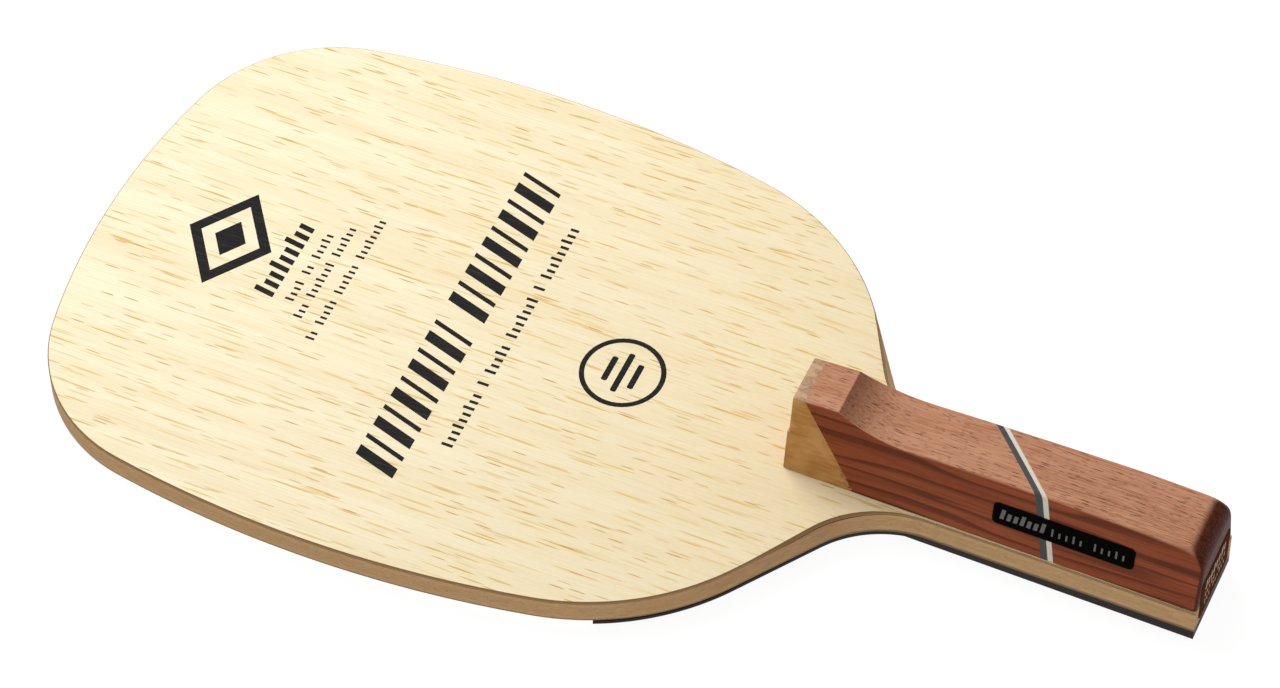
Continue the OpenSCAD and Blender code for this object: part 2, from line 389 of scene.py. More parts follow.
def pale_veneer():
    """Cream wood with straight fine grain and scattered short tan dashes."""
    p = Paint("pale_veneer", roughness=0.5, specular=0.2)
    place = p.warped((0, 0.9, 0), (60, 16, 9))
    fibre = p.noise(p.grain((24, 0.4, 9), place=place), detail=3, roughness=0.6)
    fleece = p.noise(p.grain((1.6, 0.7, 9), place=place), detail=3)
    band = p.noise(p.grain((90, 6, 9), place=place), detail=3)
    crowd = p.noise(p.grain((26, 4.5, 9), shift=(5, 2, 0), place=place), detail=2)
    crowded = p.between(crowd, 0.34, 0.56, 0.6, 1.0)
    # Paler at the tip and duller toward the grip: painted light falloff across the face.
    slow = p.between(p.axis(p.place, "X"), -120, 90)
    wood = p.mix(slow, srgb(242, 232, 200), srgb(233, 216, 178))
    wood = p.mix(p.between(band, 0.35, 0.7, 0.0, 0.6), wood, srgb(231, 212, 170))
    wood = p.mix(p.between(fibre, 0.4, 0.75, 0.0, 0.42), wood, srgb(218, 192, 138))
    wood = p.mix(p.between(fleece, 0.4, 0.7, 0.0, 0.14), wood, srgb(246, 236, 206))
    relief = fibre
    for size, shift, core, reach, share, strength, tone in (
        ((21, 1.1), (0, 0), 0.14, 0.24, 0.22, 0.85, srgb(222, 182, 92)),
        ((28, 0.95), (3, 7), 0.14, 0.24, 0.24, 0.95, srgb(216, 174, 82)),
        ((15, 0.9), (6, 2), 0.14, 0.23, 0.26, 0.95, srgb(211, 168, 76)),
        ((10, 0.8), (1, 6), 0.12, 0.22, 0.24, 0.9, srgb(196, 149, 68)),
    ):
        grain = p.grain((*size, 1), shift=(*shift, 0), turn=CELL_TURN, place=place)
        marks = p.math("MULTIPLY", p.dashes(grain, core, reach, share, flat=True), crowded)
        wood = p.mix(p.math("MULTIPLY", marks, strength), wood, tone)
        relief = p.math("SUBTRACT", relief, marks)
    p.bump(relief, 0.03)
    return p.colour(edge_tone(p, wood))


def ply_edge(name, light, dark, shift):
    """The sanded edge of a ply: tan along the grain, redder and mottled on end grain."""
    p = Paint(name, roughness=0.65, specular=0.15)
    fine = p.noise(p.grain((2.4, 1.6, 0.3), shift=shift), detail=4, roughness=0.65)
    patch = p.noise(p.grain((9, 7, 4), shift=shift), detail=3)
    spots = p.noise(p.grain((0.5, 0.5, 0.8), shift=shift), detail=3)
    wood = p.mix(p.between(fine, 0.3, 0.7), light, dark)
    ends = p.math("MULTIPLY", p.facing("X", 0.25, 0.95), p.between(patch, 0.25, 0.7, 0.4, 1.0))
    wood = p.mix(p.math("MULTIPLY", ends, 0.5), wood, srgb(142, 98, 66))
    wood = p.mix(p.between(spots, 0.55, 0.75, 0.0, 0.3), wood, srgb(120, 84, 52))
    p.bump(spots, 0.03)
    return p.colour(wood)


def fibre_edge():
    """The sawn edge of a woven fibre layer, sanded brown round the blade, dark on the tongue."""
    p = Paint("fibre_edge", roughness=0.6, specular=0.1)
    tow = p.noise(p.grain((1.8, 1.8, 0.2)), detail=2)
    uneven = p.between(tow, 0.35, 0.65)
    sanded = p.mix(uneven, srgb(110, 82, 54), srgb(142, 108, 72))
    dark = p.mix(uneven, srgb(52, 38, 27), srgb(98, 74, 50))
    tongue = p.between(p.axis(p.place, "X"), GRIP_X / MM - 30, GRIP_X / MM + 25)
    return p.colour(p.mix(tongue, sanded, dark))


def late_wood(p, tilted):
    """The dark part of each growth ring: comes on slowly and ends at once."""
    drift = p.noise(p.grain((70, 12, 5), shift=(2, 7, 1), place=tilted), detail=2)
    height = p.math("MULTIPLY", p.axis(tilted, "Z"), 0.27)
    ring = p.math("FRACT", p.math("ADD", height, p.math("MULTIPLY", drift, 3)))
    return p.math("MULTIPLY", p.between(ring, 0.35, 0.86), p.between(ring, 1.0, 0.9))


def red_top(p, streak, tone):
    """The hardwood's upper side: light and dark streaks, darker toward the butt."""
    toward_butt = p.between(p.axis(p.place, "X"), 50, 115, 0.0, 0.3)
    top = p.mix(p.between(tone, 0.3, 0.7), srgb(184, 130, 99), srgb(166, 109, 78))
    top = p.mix(toward_butt, top, srgb(152, 94, 64))
    top = p.mix(p.between(streak, 0.35, 0.7, 0.0, 0.8), top, srgb(198, 149, 120))
    return p.mix(p.between(streak, 0.46, 0.3, 0.0, 0.65), top, srgb(136, 78, 53))


def red_flank(p, streak, tone, tilted):
    """The hardwood's deep red sides, with fine threads and growth rings."""
    thread = p.noise(p.grain((34, 5, 0.5), shift=(2, 1, 5), place=tilted), detail=3, roughness=0.6)
    flank = p.mix(p.between(tone, 0.3, 0.7), srgb(143, 73, 44), srgb(129, 62, 35))
    flank = p.mix(p.between(streak, 0.35, 0.7, 0.0, 0.45), flank, srgb(163, 85, 49))
    flank = p.mix(p.between(thread, 0.5, 0.66, 0.0, 0.4), flank, srgb(90, 38, 22))
    return p.mix(p.math("MULTIPLY", late_wood(p, tilted), 0.62), flank, srgb(62, 26, 16))


def red_ends_and_shade(p, wood, tilted):
    """Darkens the hardwood where it faces along X: partly its cut-across end grain, partly painted
    shade on faces turned away from the light, such as the hollow behind the ridge; most of all at
    the butt.
    """
    butt = BUTT_X / MM
    handled = p.between(p.axis(p.place, "X"), butt - 8, butt - 3, 0.62, 1.0)
    cross = p.noise(p.grain((9, 0.5, 0.5), shift=(3, 3, 1), place=tilted), detail=3)
    # Near-black end grain, also standing in as painted shade in the hollow behind the ridge and on
    # the butt's round.
    end_grain_and_shade = p.mix(p.between(cross, 0.35, 0.65), srgb(88, 40, 22), srgb(60, 24, 12))
    return p.mix(p.math("MULTIPLY", p.facing("X", 0.14, 0.5), handled), wood, end_grain_and_shade)


def red_hardwood():
    """Reddish open-pored wood: growth rings on the sides, fine streaks and pores on top."""
    p = Paint("red_hardwood", roughness=0.5, specular=0.07)
    place = p.warped((0, 0.5, 0.9), (40, 14, 10))
    tilted = p.grain((1, 1, 1), turn=(0.1, 0.03, 0), place=place)
    streak = p.noise(p.grain((9, 0.26, 0.26), place=place), detail=4, roughness=0.65)
    tone = p.noise(p.grain((46, 6, 5), shift=(1, 3, 2), place=place), detail=2)
    upper = p.facing("Y", 0.93, 0.55)
    wood = p.mix(upper, red_flank(p, streak, tone, tilted), red_top(p, streak, tone))
    relief = streak
    for size, shift, share, strength, shade in (
        ((3.6, 0.32, 1.1), (0, 0, 0), 0.5, 0.9, srgb(78, 34, 22)),
        ((1.8, 0.26, 0.9), (4, 2, 6), 0.35, 0.7, srgb(88, 42, 28)),
    ):
        pores = p.dashes(p.grain(size, shift=shift, place=place), 0.16, 0.32, share)
        pores = p.math("MULTIPLY", pores, p.math("MULTIPLY", upper, strength))
        wood = p.mix(pores, wood, shade)
        relief = p.math("SUBTRACT", relief, pores)
    p.bump(p.math("MULTIPLY", relief, p.between(upper, 0.0, 1.0, 0.2, 1.0)), 0.06)
    return p.colour(red_ends_and_shade(p, wood, tilted))


def wedge_wood(joint_at, joint):
    """Golden-brown wood with a paler mottled top and dark specks along its glued joint."""
    p = Paint("wedge_wood", roughness=0.55, specular=0.12)
    streak = p.noise(p.grain((5, 1.2, 0.7), turn=(0, 0.3, 0)), detail=4, roughness=0.6)
    tone = p.noise(p.grain((6, 5, 5)), detail=2)
    vein = p.noise(p.grain((3.0, 1.6, 2), turn=(0, 0, 0.5)), detail=4, roughness=0.55)
    fleck = p.dashes(p.grain((2.2, 0.8, 1.6)), 0.08, 0.24, 0.22)
    grime = p.noise(p.grain((0.8, 0.8, 0.5)), detail=3)
    side = p.mix(p.between(streak, 0.3, 0.7), srgb(196, 142, 80), srgb(172, 118, 60))
    side = p.mix(p.between(tone, 0.38, 0.65, 0.0, 0.6), side, srgb(206, 158, 98))
    top = p.mix(p.between(vein, 0.4, 0.62), srgb(190, 157, 125), srgb(172, 139, 108))
    crack = p.math("ABSOLUTE", p.math("SUBTRACT", vein, 0.56))
    top = p.mix(p.between(crack, 0.03, 0.0, 0.0, 0.4), top, srgb(110, 84, 60))
    wood = p.mix(p.between(p.axis(p.normal, "Z"), 0.5, 0.9), side, top)
    wood = p.mix(p.math("MULTIPLY", fleck, 0.5), wood, srgb(120, 78, 42))
    near_joint = p.between(p.beyond(joint_at, joint), -1.4, -0.1)
    near_foot = p.between(p.axis(p.place, "Z"), FACE_Z / MM + 6, FACE_Z / MM, 0.25, 1.0)
    glue = p.math("MULTIPLY", p.between(grime, 0.5, 0.6), near_joint)
    wood = p.mix(p.math("MULTIPLY", glue, near_foot), wood, srgb(60, 36, 22))
    p.bump(streak, 0.04)
    return p.colour(wood)


def film(name, base, tint, roughness, specular=0.12, size=0.35):
    """A plastic or painted film with a faint mottle in colour and a fine uneven surface."""
    p = Paint(name, roughness=roughness, specular=specular)
    mottle = p.noise(p.grain((size, size, size)), detail=4, roughness=0.6)
    cloud = p.noise(p.grain((14, 9, 9)), detail=3)
    shade = p.mix(p.between(mottle, 0.3, 0.7), base, tint)
    shade = p.mix(p.between(cloud, 0.3, 0.7, 0.0, 0.4), shade, tint)
    p.bump(mottle, 0.008)
    return p.colour(shade)


def ink():
    """Black print that thins over the wood's grain."""
    p = Paint("ink", roughness=0.6, specular=0.06)
    worn = p.noise(p.grain((7, 0.22, 1)), detail=4, roughness=0.65)
    return p.colour(p.mix(p.between(worn, 0.5, 0.8), srgb(30, 29, 31), srgb(74, 68, 60)))


# ---------------------------------------------------------------- the blade

# Radii of the rounded rims
BLADE_EDGE_ROUND = 0.3 * MM
TONGUE_EDGE_ROUND = 0.06 * MM
SCOOP_EDGE_ROUND = 0.14 * MM
BACK_EDGE_ROUND = 0.55 * MM
SHEET_ROUND = 0.15 * MM
PLATE_ROUND = 0.25 * MM
# The scoops: the least that counts as one, their edges' reach and the rings down their slope
LEAST_SCOOP = 0.04 * MM
SCOOP_EDGE_REACH = 0.5 * MM
SCOOP_STEP = 0.25 * MM
# A rim's points: their spacing, the longest chord of a curve, the least turn of a corner
RIM_STEP = 0.5 * MM
LONG_EDGE = 4 * MM
CORNER = math.radians(20)
# How far the fibre layers' edges are sunk behind those of the plies
FIBRE_SUNK = 0.03 * MM
# How far behind the grip's front the tongue's rim is at its crispest
TONGUE_REACH = 30 * MM


def edge_rounding(outline, radius, insets):
    """A rim's radius at each point: soft round the blade, crisp at the scoops and the tongue."""
    tongue = np.array([smoothstep(x, GRIP_X, GRIP_X + TONGUE_REACH) for x, _ in outline])
    scoop = np.clip(insets / SCOOP_EDGE_REACH, 0, 1)
    radii = radius + (SCOOP_EDGE_ROUND - radius) * scoop
    return radii + (TONGUE_EDGE_ROUND - radii) * tongue


def finer(outline):
    """An outline with its short chords filled in along the curve that they stand for."""
    chord = np.roll(outline, -1, axis=0) - outline
    length = np.linalg.norm(chord, axis=1)
    course = chord / length[:, None]
    before = np.roll(course, 1, axis=0)
    tangent = course + before
    tangent /= np.linalg.norm(tangent, axis=1)[:, None]
    smooth = (course * before).sum(axis=1) > math.cos(CORNER)
    points = []
    for i in range(len(outline)):
        j = (i + 1) % len(outline)
        curved = length[i] < LONG_EDGE
        leave = tangent[i] if curved and smooth[i] else course[i]
        arrive = tangent[j] if curved and smooth[j] else course[i]
        count = math.ceil(length[i] / RIM_STEP)
        for t in np.arange(count) / count:
            straight = outline[i] + (3 * t**2 - 2 * t**3) * chord[i]
            bend = (t - 2 * t**2 + t**3) * leave + (t**3 - t**2) * arrive
            points.append(straight + length[i] * bend)
    return np.array(points)


def scoop_insets(outline):
    """How far the scoops draw in the playing face at each point of the full outline."""
    rim = outline_of("front_veneer")
    side = np.roll(rim, -1, axis=0) - rim
    insets = []
    for point in outline:
        share = ((point - rim) * side).sum(axis=1) / (side**2).sum(axis=1)
        nearest = rim + np.clip(share, 0, 1)[:, None] * side
        insets.append(np.linalg.norm(nearest - point, axis=1).min())
    return np.where(np.array(insets) > LEAST_SCOOP, insets, 0)


def scoop_run():
    """How much narrower the scoops get for each unit of depth below the face."""
    full = outline_of("back_veneer")
    deepest = full[scoop_insets(full).argmax()]
    rims = [outline_of(name) for name in ("front_veneer", "front_fibre_layer")]
    widths = [np.linalg.norm(rim - deepest, axis=1).min() for rim in rims]
    return (widths[0] - widths[1]) / (FACE_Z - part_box("front_fibre_layer")[1].z)


def scooped(rings, insets, run):
    """Adds rings between the middle two of a profile and draws all of them into the scoops."""
    middle = len(rings) // 2
    (low, low_inset), (high, high_inset) = rings[middle - 1], rings[middle]
    count = math.ceil((high - low).max() / SCOOP_STEP)
    between = []
    for i in range(1, count):
        share = i / count
        between.append((low + (high - low) * share, low_inset + (high_inset - low_inset) * share))
    rings = rings[:middle] + between + rings[middle:]
    return [(z, inset + np.maximum(insets - (FACE_Z - z) * run, 0)) for z, inset in rings]


def build_blade():
    """The seven layers of the blade, on one outline, with the scoops cut into the upper four."""
    outline = finer(outline_of("back_veneer"))
    insets, run = scoop_insets(outline), scoop_run()
    front = edge_rounding(outline, BLADE_EDGE_ROUND, insets)
    back = edge_rounding(outline, BACK_EDGE_ROUND, 0 * insets)
    inner = ply_edge("inner_ply_edge", srgb(194, 158, 112), srgb(176, 138, 94), (3, 1, 4))
    core = ply_edge("core_edge", srgb(190, 153, 107), srgb(171, 133, 89), (7, 5, 2))
    fibre = fibre_edge()
    veneer = pale_veneer()
    for name, slot, material, sunk, low, high in (
        ("front_veneer", "veneer", veneer, 0, 0, front),
        ("front_fibre_layer", "fibre", fibre, FIBRE_SUNK, 0, 0),
        ("front_inner_ply", "inner_ply", inner, 0, 0, 0),
        ("core_ply", "core", core, 0, 0, 0),
        ("back_inner_ply", "inner_ply", inner, 0, 0, 0),
        ("back_fibre_layer", "fibre", fibre, FIBRE_SUNK, 0, 0),
        ("back_veneer", "veneer", veneer, 0, back, 0),
    ):
        bottom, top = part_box(name)
        rings = profile(len(outline), bottom.z, top.z, low, high)
        if not name.startswith("back"):
            rings = scooped(rings, insets, run)
        mesh = mesh_of(name, plate(drawn_in(outline, sunk), rings))
        piece = finish_mesh(f"{name}_shaped", mesh, material)
        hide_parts(name)


def build_back():
    """The sheet and the plate on the back, their lower edges rounded, both black; the sheet is
    painted shade, a black band standing for the shade under the blade's lower edge.
    """
    black = film("black_plate_and_shade_band", srgb(35, 27, 23), srgb(43, 34, 29), roughness=0.55, specular=0.1)
    for name, slot, edge in (
        # The sheet's black along the blade's lower edge is painted shade under the blade.
        ("back_sheet", "back_sheet", SHEET_ROUND),
        ("back_grip_plate", "handle_plate", PLATE_ROUND),
    ):
        bottom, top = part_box(name)
        outline = finer(outline_of(name))
        rings = profile(len(outline), bottom.z, top.z, round_low=edge)
        piece = finish_mesh(f"{name}_shaped", mesh_of(name, plate(outline, rings)), black)
        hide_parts(name)


# ---------------------------------------------------------------- the grip

GRIP_NODES = (
    "grip_nose_wedge",
    "grip_front_block",
    "inlay_dark_strip",
    "inlay_white_strip",
    "grip_rear_block",
)
# Heights above the face that tell the top line, the hook's face and the hook's top apart
LEAST_TOP = 8 * MM
FRONT_STEP_TOP = 10 * MM
HOOK_LOW = 18 * MM
# Points within this of a height or a place count as at it
NEAR = 0.1 * MM
# Lengths along the grip: its rounded ends, and the reach of the ridge and of the hollow
FRONT_ROUND = 0.3 * MM
BUTT_ROUND = 5 * MM
BUTT_SIDE_ROUND = 0.9 * MM
RIDGE_REACH = 0.6 * MM
HOLLOW_REACH = 18 * MM
# Radii of the long upper edges, and where one gives way to the next
HOOK_EDGE = 0.35 * MM
HANDLE_EDGE = 0.9 * MM
BUTT_EDGE = 2.0 * MM
HANDLE_BEGINS = 4 * MM
HANDLE_IN_FULL = 40 * MM
BUTT_BEGINS = 20 * MM
# A section: the chamfer at its foot, the rise of its top and the number of its points
FOOT_EDGE = 0.14 * MM
CROWN = 0.12 * MM
SIDE_STEPS = 8
ROUND_STEPS = 8
CROWN_STEPS = 5
# The blur of the top line: its least and most reach, and its growth away from the ridge
LEAST_BLUR = 0.2 * MM
MOST_BLUR = 3 * MM
BLUR_GROWTH = 0.4
BLUR_SPREAD = np.linspace(-1, 1, 25)
BLUR_WEIGHTS = 1 + np.cos(math.pi * BLUR_SPREAD)


class GripForm:
    """The carved grip: its top line and sides as the CAD has them, its edges rounded."""

    def __init__(self):
        """Reads the top line, the lean of the sides and the widths."""
        places = np.concatenate([points_of(name) for name in GRIP_NODES])
        top = {}
        for x, _, z in places:
            key = round(x, 5)
            top[key] = max(top.get(key, 0), z)
        self.front = min(x for x, z in top.items() if z > FACE_Z + FRONT_STEP_TOP)
        self.xs = sorted(x for x, z in top.items() if x >= self.front and z > FACE_Z + LEAST_TOP)
        self.heights = [top[x] for x in self.xs]
        self.ridge = self.xs[int(np.argmax(self.heights))]
        wedge = points_of("grip_nose_wedge")
        foot = wedge[(wedge[:, 2] < FACE_Z + NEAR) & (wedge[:, 0] < GRIP_X + NEAR)]
        upper = wedge[(wedge[:, 2] > FACE_Z + HOOK_LOW) & (wedge[:, 0] < self.front + NEAR)]
        self.front_half = foot[:, 1].max()
        self.lean = (self.front_half - upper[:, 1].max()) / (upper[:, 2].max() - FACE_Z)
        self.butt_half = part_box("grip_rear_block")[1].y

    def height(self, x):
        """The top line, its facets blurred away but for the crisp ridge and the butt's round."""
        from_ridge = LEAST_BLUR + BLUR_GROWTH * abs(x - self.ridge)
        from_butt = BLUR_GROWTH * max(BUTT_X - x, 0)
        reach = min(from_ridge, MOST_BLUR, from_butt)
        places = np.clip(x + reach * BLUR_SPREAD, self.front, BUTT_X)
        tops = np.interp(places, self.xs, self.heights)
        blurred = float(np.average(tops, weights=BLUR_WEIGHTS))
        return blurred - FACE_Z - rounding(x - self.front, FRONT_ROUND)

    def half_width(self, x):
        """Half the width at the foot, which narrows at the rounded front and butt."""
        share = (x - GRIP_X) / (BUTT_X - GRIP_X)
        drop = rounding(x - self.front, FRONT_ROUND) + rounding(BUTT_X - x, BUTT_SIDE_ROUND)
        return self.front_half + (self.butt_half - self.front_half) * share - drop

    def edge_radius(self, x):
        """The radius of the long upper edges: crisp on the hook, softest at the butt."""
        soft = smoothstep(x, self.ridge + HANDLE_BEGINS, self.ridge + HANDLE_IN_FULL)
        at_butt = smoothstep(x, BUTT_X - BUTT_BEGINS, BUTT_X)
        return HOOK_EDGE + (HANDLE_EDGE - HOOK_EDGE) * soft + (BUTT_EDGE - HANDLE_EDGE) * at_butt

    def section(self, x):
        """Half of a section, from the foot of the -Y side to the middle of the top."""
        tall, half, radius = self.height(x), self.half_width(x), self.edge_radius(x)
        tilt = math.atan(self.lean)
        back = radius / math.tan((math.pi / 2 + tilt) / 2)
        side_z = tall - back * math.cos(tilt)
        top_y = -(half - self.lean * tall) + back
        points = [(-half + FOOT_EDGE, 0)]
        for i in range(SIDE_STEPS):
            z = FOOT_EDGE + (side_z - FOOT_EDGE) * i / SIDE_STEPS
            points.append((-(half - self.lean * z), z))
        start = math.pi - tilt
        for i in range(ROUND_STEPS + 1):
            angle = start + (math.pi / 2 - start) * i / ROUND_STEPS
            y = top_y + radius * math.cos(angle)
            z = tall - radius + radius * math.sin(angle)
            points.append((y, z))
        for i in range(1, CROWN_STEPS + 1):
            y = top_y * (1 - i / CROWN_STEPS)
            points.append((y, tall + CROWN * (1 - (y / top_y) ** 2)))
        return points

    def ring(self, x):
        """The whole section at a place along the grip."""
        half = self.section(x)
        whole = half + [(-y, z) for y, z in half[-2::-1]]
        return [(x, y, FACE_Z + z) for y, z in whole]

    def stations(self):
        """Places along the grip, closest together at its front, its ridge and its butt."""
        front, ridge = self.front, self.ridge
        front_turn = np.linspace(0, math.pi / 2, 6)
        butt_turn = np.linspace(0, math.pi / 2, 22)
        parts = (
            front + FRONT_ROUND * (1 - np.cos(front_turn)),
            np.linspace(front + FRONT_ROUND, ridge - RIDGE_REACH, 12),
            np.linspace(ridge - RIDGE_REACH, ridge + RIDGE_REACH, 9),
            np.linspace(ridge + RIDGE_REACH, ridge + HOLLOW_REACH, 26),
            np.linspace(ridge + HOLLOW_REACH, BUTT_X - BUTT_ROUND, 40),
            BUTT_X - BUTT_ROUND + BUTT_ROUND * np.sin(butt_turn),
        )
        return np.unique(np.round(np.concatenate(parts), 7))

    def body(self):
        """The whole grip as one closed bmesh, faces outward."""
        bm = loft([self.ring(x) for x in self.stations()])
        bmesh.ops.recalc_face_normals(bm, faces=bm.faces)
        return bm


def add_front_step(bm, full_front):
    """Brings the lower half of the hook's front face forward by its small step."""
    step_z = max(z for x, _, z in points_of("grip_nose_wedge") if x < GRIP_X + NEAR)
    everything = bm.verts[:] + bm.edges[:] + bm.faces[:]
    bmesh.ops.bisect_plane(bm, geom=everything, plane_co=(0, 0, step_z), plane_no=(0, 0, 1))
    front = [f for f in bm.faces if f.normal.x < -SQUARELY]
    lower = [f for f in front if f.calc_center_median().z < step_z]
    pushed = bmesh.ops.extrude_face_region(bm, geom=lower)
    moved = [v for v in pushed["geom"] if isinstance(v, bmesh.types.BMVert)]
    bmesh.ops.translate(bm, verts=moved, vec=(GRIP_X - full_front, 0, 0))
    bmesh.ops.delete(bm, geom=lower, context="FACES_KEEP_BOUNDARY")


def wedge_joint():
    """The glued joint behind the wedge: a point of its plane and its normal, toward the butt."""
    wedge = points_of("grip_nose_wedge")
    foot_x = wedge[:, 0].max()
    top_z = wedge[:, 2].max()
    top_x = wedge[wedge[:, 2] > top_z - NEAR][:, 0].max()
    normal = Vector((top_z - FACE_Z, 0, foot_x - top_x)).normalized()
    return Vector((foot_x, 0, FACE_Z)), normal


def build_grip():
    """The five pieces of the grip, cut from one form along their glued joints."""
    form = GripForm()
    joint_at, joint = wedge_joint()
    inlay = Vector((1, 1, 0)).normalized()
    dark = [inlay * d for d in span("inlay_dark_strip", inlay)]
    white = [inlay * d for d in span("inlay_white_strip", inlay)]
    red = red_hardwood()
    dark_film = film("inlay_dark", srgb(64, 63, 64), srgb(80, 79, 80), roughness=0.55)
    white_film = film("inlay_white", srgb(218, 213, 196), srgb(204, 198, 180), roughness=0.55)
    for name, slot, material, planes in (
        ("grip_nose_wedge", "wedge_wood", wedge_wood(joint_at, joint), [(joint_at, joint)]),
        ("grip_front_block", "grip_wood", red, [(joint_at, -joint), (dark[0], inlay)]),
        ("inlay_dark_strip", "inlay_dark", dark_film, [(dark[0], -inlay), (dark[1], inlay)]),
        ("inlay_white_strip", "inlay_white", white_film, [(white[0], -inlay), (white[1], inlay)]),
        ("grip_rear_block", "grip_wood", red, [(white[1], -inlay)]),
    ):
        bm = form.body()
        for point, normal in planes:
            cut(bm, point, normal)
        if name == "grip_nose_wedge":
            add_front_step(bm, form.front)
        piece = finish_mesh(f"{name}_shaped", mesh_of(name, bm), material)
        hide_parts(name)


# ---------------------------------------------------------------- labels and print


def face_frame(name, outward, along):
    """The middle of the face of a node that looks outward, as a matrix: X along, Z outward."""
    mesh = nodes[name].data
    faces = [p for p in mesh.polygons if p.normal.dot(outward) > SQUARELY]
    normal = sum((p.normal * p.area for p in faces), Vector()).normalized()
    right = (along - normal * along.dot(normal)).normalized()
    up = normal.cross(right)
    corners = [mesh.vertices[i].co for p in faces for i in p.vertices]
    middle = Vector()
    for direction in (right, up, normal):
        reach = [c.dot(direction) for c in corners]
        middle += direction * (min(reach) + max(reach)) / 2
    turn = Matrix((right, up, normal)).transposed().to_4x4()
    return Matrix.Translation(middle) @ turn


def bar(x, y, width, height, lean=0.0, corner=0.0):
    """A bar round a middle point, leaning sideways, with rounded corners."""
    shape = []
    steps = 5 if corner else 1
    for sx, sy, start in ((1, 1, 0), (-1, 1, 90), (-1, -1, 180), (1, -1, 270)):
        for i in range(steps):
            angle = math.radians(start + 90 * i / max(steps - 1, 1))
            px = sx * (width / 2 - corner) + corner * math.cos(angle)
            py = sy * (height / 2 - corner) + corner * math.sin(angle)
            shape.append((x + px + lean * py, y + py))
    return shape


def circle(x, y, radius, steps=48):
    """A circle's outline."""
    turns = [2 * math.pi * i / steps for i in range(steps)]
    return [(x + radius * math.cos(a), y + radius * math.sin(a)) for a in turns]


def stamp(name, shapes, place, thick, material):
    """Thin shapes set in a surface. A shape is an outline, or an outer and an inner one."""
    bm = bmesh.new()
    for shape in shapes:
        loops = shape if isinstance(shape, tuple) else (shape,)
        rows = []
        for loop in loops:
            for z in (-thick, thick):
                rows.append([bm.verts.new(place @ Vector((x * MM, y * MM, z))) for x, y in loop])
        count = len(rows[0])
        for i in range(count):
            j = (i + 1) % count
            bm.faces.new((rows[0][i], rows[0][j], rows[1][j], rows[1][i]))
            if len(rows) == 4:
                bm.faces.new((rows[2][j], rows[2][i], rows[3][i], rows[3][j]))
                bm.faces.new((rows[1][i], rows[1][j], rows[3][j], rows[3][i]))
                bm.faces.new((rows[0][j], rows[0][i], rows[2][i], rows[2][j]))
        if len(rows) == 2:
            bm.faces.new(rows[0][::-1])
            bm.faces.new(rows[1])
    return finish_mesh(name, mesh_of(name, bm), material)


def ticks(x, y, groups, height, stroke, pitch, lean=0.0):
    """Groups of small upright bars, one pitch apart, centred: a stand-in for a line of print."""
    count = sum(groups) + len(groups) - 1
    at = x - pitch * (count - 1) / 2
    shapes = []
    for group in groups:
        for i in range(group):
            tall = height if i % 3 == 0 else 0.74 * height
            drop = (tall - height) / 2
            shapes.append(bar(at + i * pitch + lean * drop, y + drop, stroke, tall, lean))
        at += (group + 1) * pitch
    return shapes


def diamond(x, y, half_width, half_height):
    """A diamond's outline."""
    return [(x + half_width, y), (x, y + half_height), (x - half_width, y), (x, y - half_height)]


INK_THICK = 0.02 * MM
LABEL_EDGE = 0.05 * MM


def print_band():
    """Two runs of broad and narrow slanting bars."""
    pitch, height, lean = 8.1, 9.6, 0.3
    shapes = []
    for i in range(5):
        for start in (-40.4, 3.4):
            at = start + i * pitch
            shapes.append(bar(at, 41.7, 2.6, height, lean))
            shapes.append(bar(at + 3.9, 41.7, 1.1, height, lean))
    return shapes


def print_block():
    """One line of large ticks and three lines of small ones."""
    shapes = ticks(0, 82.6, [9], 4.6, 1.3, 2.35, lean=0.15)
    for y, groups, pitch in (
        (76.8, [4, 2, 5], 1.55),
        (73.2, [3, 7, 6], 1.5),
        (68.3, [2, 5, 6, 8], 1.48),
    ):
        shapes += ticks(0, y, groups, 2.0, 0.55, pitch)
    return shapes


def print_emblem():
    """A diamond in a diamond frame."""
    x, y = 0.5, 95.5
    return [(diamond(x, y, 13.2, 9.6), diamond(x, y, 9.4, 6.8)), diamond(x, y, 5.0, 3.6)]


def print_badge():
    """Three bars in a ring."""
    x, y = 0.2, 5.4
    shapes = [(circle(x, y, 9.0), circle(x, y, 7.9))]
    for rise, width in ((2.9, 6.6), (0, 10.6), (-2.9, 6.6)):
        shapes.append(bar(x, y + rise, width, 1.3, corner=0.4))
    return shapes


def build_prints():
    """Plain bars, rings and diamonds where the blade is printed, in millimetres across it."""
    black = ink()
    place = Matrix.Translation((0, 0, FACE_Z)) @ Matrix.Rotation(math.pi / 2, 4, "Z")
    for name, shapes in (
        ("print_band", print_band()),
        ("print_line", ticks(0, 30.4, [9, 1, 5, 7, 1, 9], 2.5, 0.7, 1.72)),
        ("print_block", print_block()),
        ("print_emblem", print_emblem()),
        ("print_badge", print_badge()),
    ):
        stamp(name, shapes, place, INK_THICK, black)


def paint_label(name, material):
    """Gives a label of the CAD its material and a softened edge."""
    label = nodes[name]
    label.data.materials.clear()
    label.data.materials.append(material)
    soften = label.modifiers.new("soft_edge", "BEVEL")
    soften.width = LABEL_EDGE
    soften.segments = 2
    soften.limit_method = "ANGLE"


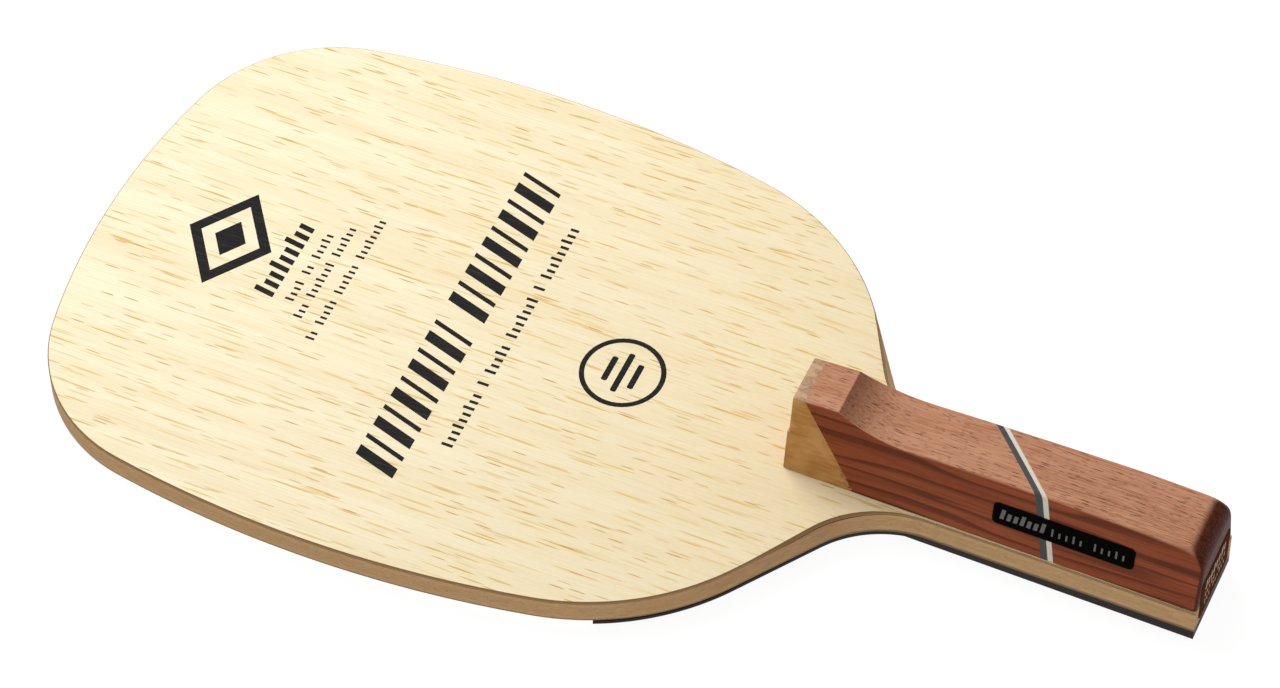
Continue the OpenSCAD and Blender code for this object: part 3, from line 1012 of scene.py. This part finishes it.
def build_labels():
    """The labels on the grip's side and on its butt, with ticks where they are printed."""
    black = film("label_black", srgb(9, 8, 7), srgb(13, 12, 11), 0.55, specular=0.0, size=0.8)
    grey = film("label_print", srgb(112, 110, 108), srgb(90, 88, 86), 0.5, size=0.3)
    foil = film("label_foil", srgb(92, 54, 34), srgb(68, 38, 22), 0.5, specular=0.0, size=1.4)
    pale = film("label_pale_print", srgb(176, 150, 130), srgb(138, 112, 92), 0.45, size=0.4)
    paint_label("side_label", black)
    paint_label("butt_label", foil)
    side = face_frame("side_label", Vector((0, -1, 0)), Vector((1, 0, 0)))
    marks = ticks(-8.6, 0.1, [7], 2.5, 0.85, 1.42, lean=0.15)
    marks += ticks(5.2, -0.2, [5, 5], 1.9, 0.4, 1.5)
    stamp("side_label_print", marks, side, INK_THICK, grey)
    butt = face_frame("butt_label", Vector((1, 0, 0)), Vector((0, 1, 0)))
    marks = ticks(0, 3.0, [8], 2.6, 0.8, 1.5, lean=0.15)
    marks += ticks(0, 0, [5, 4], 1.5, 0.45, 1.2) + ticks(0, -2.4, [3, 6], 1.5, 0.45, 1.2)
    stamp("butt_label_print", marks, butt, INK_THICK, pale)


# ---------------------------------------------------------------- stage, lights, camera


FLOOR_REACH = 4.0
FLOOR_GAP = 0.05 * MM
FLOOR_GLOW = 0.93
SKY = 0.5
KEY_WATTS = 11


def floor_paint():
    """A pale matte surface that also glows a little, as a lit table does."""
    p = Paint("floor", roughness=0.95, specular=0.05)
    cloud = p.noise(p.grain((60, 60, 60)), detail=2)
    p.shader.inputs["Emission Color"].default_value = (1, 1, 1, 1)
    p.shader.inputs["Emission Strength"].default_value = FLOOR_GLOW
    return p.colour(p.mix(cloud, srgb(102, 102, 102), srgb(98, 98, 98)))


def build_floor():
    """A floor that touches the tip's lower edge and the front of the handle plate."""
    tip = Vector((cad_box[0].x, 0, BACK_Z))
    plate_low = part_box("back_grip_plate")[0]
    heel = Vector((plate_low.x, 0, plate_low.z))
    slope = (heel - tip).normalized()
    gap = Vector((0, 0, FLOOR_GAP))
    corners = [
        tip - gap + slope * along * FLOOR_REACH + Vector((0, across * FLOOR_REACH, 0))
        for along, across in ((-1, -1), (1, -1), (1, 1), (-1, 1))
    ]
    mesh = bpy.data.meshes.new("floor")
    mesh.from_pydata(corners, [], [(0, 1, 2, 3)])
    mesh.materials.append(floor_paint())
    floor = bpy.data.objects.new("floor", mesh)
    bpy.context.scene.collection.objects.link(floor)


def build_lights():
    """An even pale surround and one large soft light from behind on the left."""
    world = bpy.data.worlds.new("studio")
    world.use_nodes = True
    sky = world.node_tree.nodes["Background"]
    sky.inputs["Color"].default_value = (1, 1, 1, 1)
    sky.inputs["Strength"].default_value = SKY
    bpy.context.scene.world = world
    data = bpy.data.lights.new("key", "AREA")
    data.size = 0.75
    data.energy = KEY_WATTS
    light = bpy.data.objects.new("key", data)
    light.location = (-0.55, 0.36, 0.95)
    aim = Vector((-0.03, 0, 0))
    light.rotation_euler = (aim - light.location).to_track_quat("-Z", "Y").to_euler()
    bpy.context.scene.collection.objects.link(light)


def build_camera():
    """The camera that sees the paddle as the reference view does."""
    azimuth, elevation, roll = math.radians(24.9), math.radians(51.05), math.radians(1.21)
    distance = 1.0416
    aim = Vector((-5.2, 8.5, 8.8)) * MM
    back = Vector(
        (
            math.sin(azimuth) * math.cos(elevation),
            -math.cos(azimuth) * math.cos(elevation),
            math.sin(elevation),
        )
    )
    data = bpy.data.cameras.new("camera")
    data.sensor_width = 36
    data.lens = 142.5
    camera = bpy.data.objects.new("camera", data)
    camera.location = aim + back * distance
    turn = (-back).to_track_quat("-Z", "Y") @ Matrix.Rotation(-roll, 3, "Z").to_quaternion()
    camera.rotation_mode = "QUATERNION"
    camera.rotation_quaternion = turn
    bpy.context.scene.collection.objects.link(camera)
    bpy.context.scene.camera = camera


bpy.context.scene.view_settings.view_transform = "Standard"
build_camera()
build_lights()
build_floor()
build_blade()
build_back()
build_grip()
build_prints()
build_labels()
